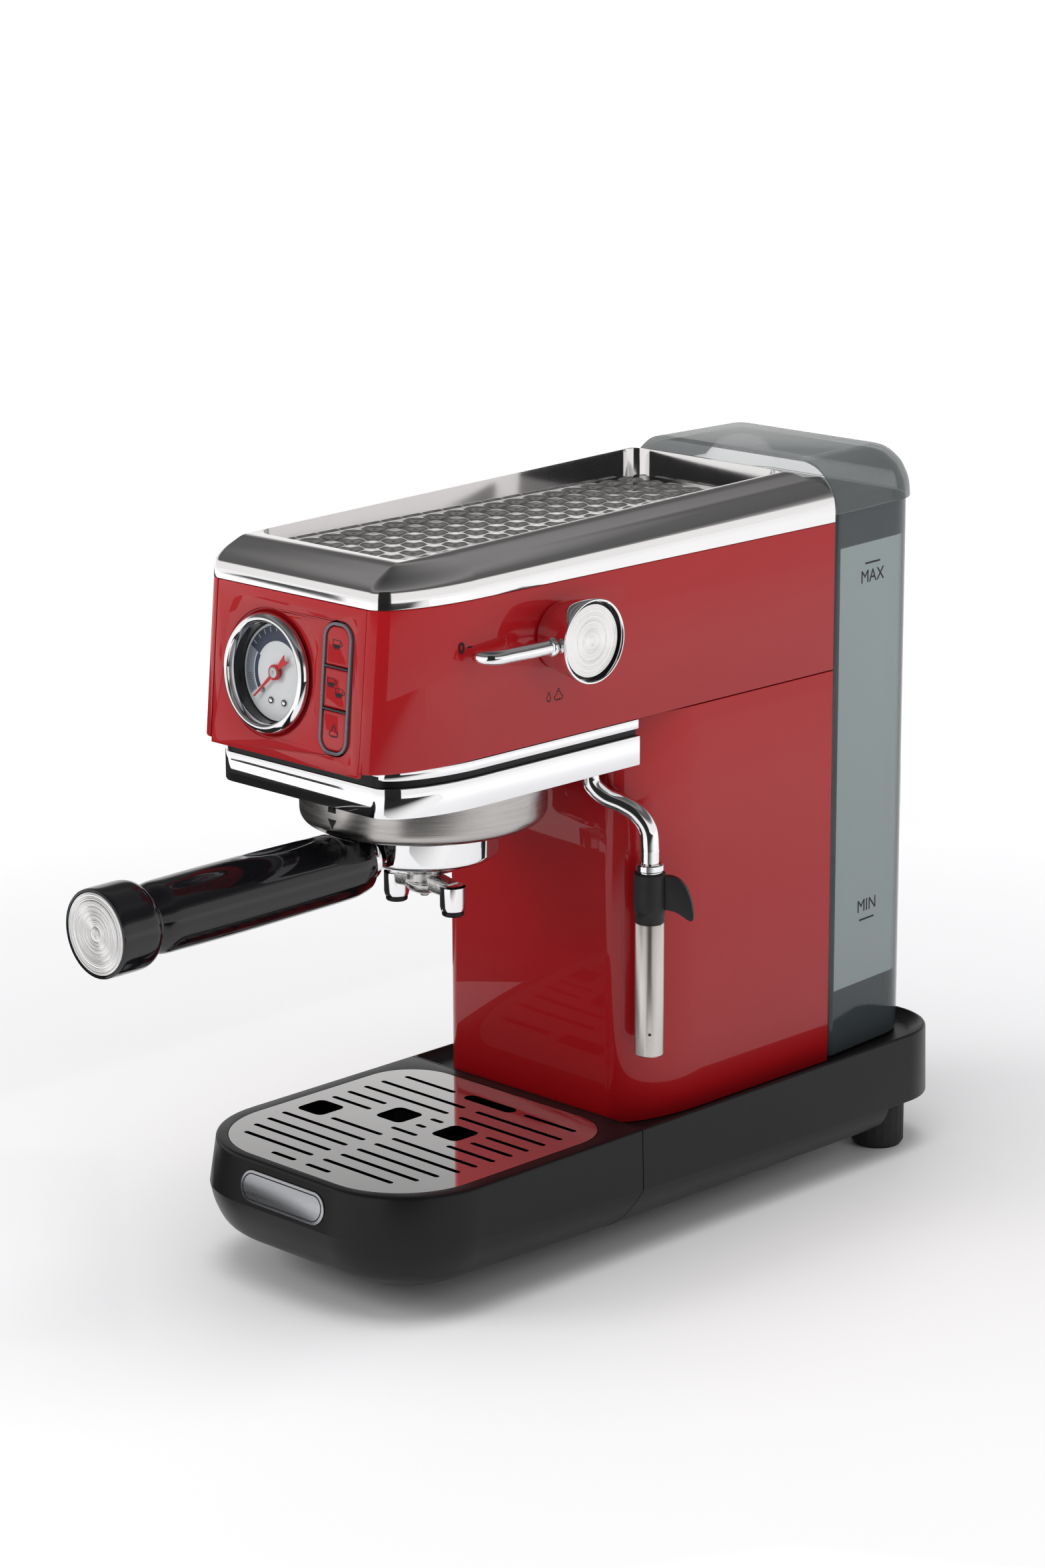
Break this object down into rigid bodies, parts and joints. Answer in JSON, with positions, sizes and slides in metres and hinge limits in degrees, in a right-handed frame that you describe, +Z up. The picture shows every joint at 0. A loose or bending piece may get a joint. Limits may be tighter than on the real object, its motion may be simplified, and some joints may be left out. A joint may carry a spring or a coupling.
{
  "type": "espresso machine",
  "caption": "Slim free-standing espresso machine with a brew head over a drip tray, a long-handled filter holder, a steam wand, a side knob, a dial, buttons and a rear water tank.",
  "frame": {"origin": "middle of the machine's bounding box, at the level of its feet", "axes": "+Z up, -Y is the front with the handle and drip tray, +X is the side with the steam knob and wand"},
  "size_m": [0.1546, 0.4498, 0.325],
  "materials": {
    "red_paint": "gloss",
    "chrome": "mirror",
    "brushed_steel": "brushed",
    "polished_steel": "polished",
    "black_plastic": "satin",
    "gloss_black": "gloss",
    "rubber": "matte",
    "smoke_clear": "clear gloss",
    "white_print": "satin",
    "needle_red": "satin",
    "clear_glass": "clear",
    "aluminium": "cast",
    "brass": "machined",
    "silicone": "matte",
    "circuit_green": "satin",
    "grey_frame": "satin"
  },
  "bodies": {
    "machine": {"base_chassis": "black_plastic", "base_plate": "black_plastic", "rear_foot_left": "rubber", "rear_foot_right": "rubber", "middle_foot_left": "rubber", "middle_foot_right": "rubber", "column_shell": "red_paint", "rear_wall": "black_plastic", "side_cover_left": "red_paint", "side_cover_right": "red_paint", "top_cover": "chrome", "cup_warmer_plate": "polished_steel", "head_floor": "black_plastic", "head_trim": "chrome", "head_rail": "chrome", "front_panel": "red_paint", "gauge_bezel": "chrome", "gauge_housing": "black_plastic", "gauge_dial": "white_print", "gauge_lens": "clear_glass", "button_frame": "grey_frame", "group_ring": "brushed_steel", "group_head": "aluminium", "group_gasket": "rubber", "shower_screen": "polished_steel", "thermoblock": "aluminium", "steam_valve": "brass", "tank_socket": "black_plastic", "pump": "grey_frame", "control_board": "circuit_green", "suction_hose": "silicone", "pressure_hose": "silicone", "cord_gland": "rubber"},
    "drip_tray_unit": {"drip_tray": "black_plastic", "tray_badge": "brushed_steel", "tray_foot_left": "rubber", "tray_foot_right": "rubber"},
    "drip_grid_unit": {"drip_grid": "polished_steel"},
    "portafilter": {"filter_bowl": "chrome", "filter_basket": "polished_steel", "twin_spout": "chrome", "handle_neck": "chrome", "handle_grip": "gloss_black", "handle_collar": "gloss_black", "handle_disc": "brushed_steel"},
    "steam_knob": {"knob_barrel": "chrome", "knob_face": "brushed_steel", "knob_lever": "chrome"},
    "steam_wand": {"wand_pipe": "chrome", "wand_nut": "chrome", "wand_grip": "black_plastic"},
    "frother": {"frother_sleeve": "brushed_steel"},
    "needle": {"gauge_needle": "needle_red"},
    "one_cup_button": {"button_one_cup": "red_paint"},
    "two_cup_button": {"button_two_cup": "red_paint"},
    "steam_button": {"button_steam": "red_paint"},
    "tank": {"water_tank": "smoke_clear", "tank_valve": "black_plastic"},
    "lid": {"tank_lid": "smoke_clear"},
    "power_switch": {"power_rocker": "black_plastic"}
  },
  "joints": [
    {"name": "portafilter_twist", "type": "hinge", "parent": "machine", "child": "portafilter", "pos_m": [-0.0054, -0.04674, 0.19], "axis": [0, 0, 1], "range_deg": [-45, 0]},
    {"name": "steam_knob_turn", "type": "hinge", "parent": "machine", "child": "steam_knob", "pos_m": [0.0646, -0.02774, 0.277], "axis": [1, 0, 0], "range_deg": [0, 90]},
    {"name": "wand_swivel", "type": "hinge", "parent": "machine", "child": "steam_wand", "pos_m": [0.0396, 0.00726, 0.21], "axis": [0, 0, 1], "range_deg": [-100, 0]},
    {"name": "frother_slide", "type": "slide", "parent": "steam_wand", "child": "frother", "axis": [0, 0, -1], "range_m": [0, 0.028]},
    {"name": "needle_turn", "type": "hinge", "parent": "machine", "child": "needle", "pos_m": [-0.0168, -0.12183, 0.265], "axis": [0, 0.9959, -0.0905], "range_deg": [0, 250], "stiffness_Nm_per_rad": 0.00001},
    {"name": "one_cup_press", "type": "slide", "parent": "machine", "child": "one_cup_button", "axis": [0, 0.9959, -0.0905], "range_m": [0, 0.0015], "stiffness_N_per_m": 900},
    {"name": "two_cup_press", "type": "slide", "parent": "machine", "child": "two_cup_button", "axis": [0, 0.9959, -0.0905], "range_m": [0, 0.0015], "stiffness_N_per_m": 900},
    {"name": "steam_press", "type": "slide", "parent": "machine", "child": "steam_button", "axis": [0, 0.9959, -0.0905], "range_m": [0, 0.0015], "stiffness_N_per_m": 900},
    {"name": "tank_lift", "type": "slide", "parent": "machine", "child": "tank", "axis": [0, 0, 1], "range_m": [0, 0.25]},
    {"name": "lid_lift", "type": "slide", "parent": "tank", "child": "lid", "axis": [0, 0, 1], "range_m": [0, 0.06]},
    {"name": "tray_slide", "type": "slide", "parent": "machine", "child": "drip_tray_unit", "axis": [0, -1, 0], "range_m": [0, 0.16]},
    {"name": "grid_lift", "type": "slide", "parent": "drip_tray_unit", "child": "drip_grid_unit", "axis": [0, 0, 1], "range_m": [0, 0.03]},
    {"name": "power_switch_rock", "type": "hinge", "parent": "machine", "child": "power_switch", "pos_m": [0.0196, 0.21826, 0.04], "axis": [1, 0, 0], "range_deg": [0, 8]}
  ]
}
